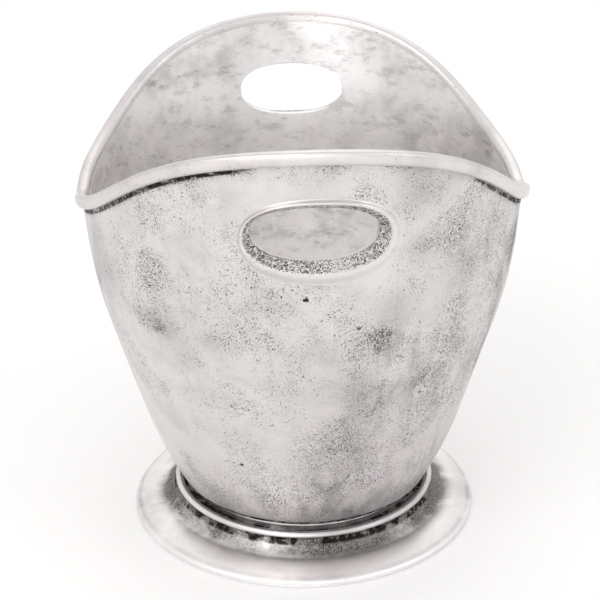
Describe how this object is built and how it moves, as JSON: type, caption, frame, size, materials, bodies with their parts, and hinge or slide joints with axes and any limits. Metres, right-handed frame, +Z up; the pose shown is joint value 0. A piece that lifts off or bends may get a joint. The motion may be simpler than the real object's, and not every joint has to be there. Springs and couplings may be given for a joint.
{
  "type": "champagne bucket",
  "caption": "Tapered cast metal champagne bucket with two raised ears pierced as hand holes, a rounded rim moulding and a spreading foot.",
  "frame": {"origin": "centre of the flat underside of the foot, on the surface the bucket stands on", "axes": "+Z up out of the bucket, the two ears with hand holes at -Y (front) and +Y (rear), the low corners of the rim at -X and +X"},
  "size_m": [0.262, 0.2834, 0.275],
  "materials": {
    "body_metal": "worn silvered cast metal, satin, with dark casting pits and patches of grey patina",
    "polished_metal": "silvered metal worn bright, with a dark broken solder line beside it",
    "border_metal": "silvered cast metal, smooth on its ridge and densely pitted on the bevel towards the hole",
    "foot_metal": "polished silvered metal with grey patina in the cove under the body"
  },
  "bodies": {
    "root": {"body_wall": "body_metal", "floor_pan": "body_metal", "rim_moulding": "polished_metal", "front_handle_border": "border_metal", "rear_handle_border": "border_metal", "collar_bead": "polished_metal", "foot_flange": "foot_metal", "foot_ring": "foot_metal"}
  },
  "joints": []
}
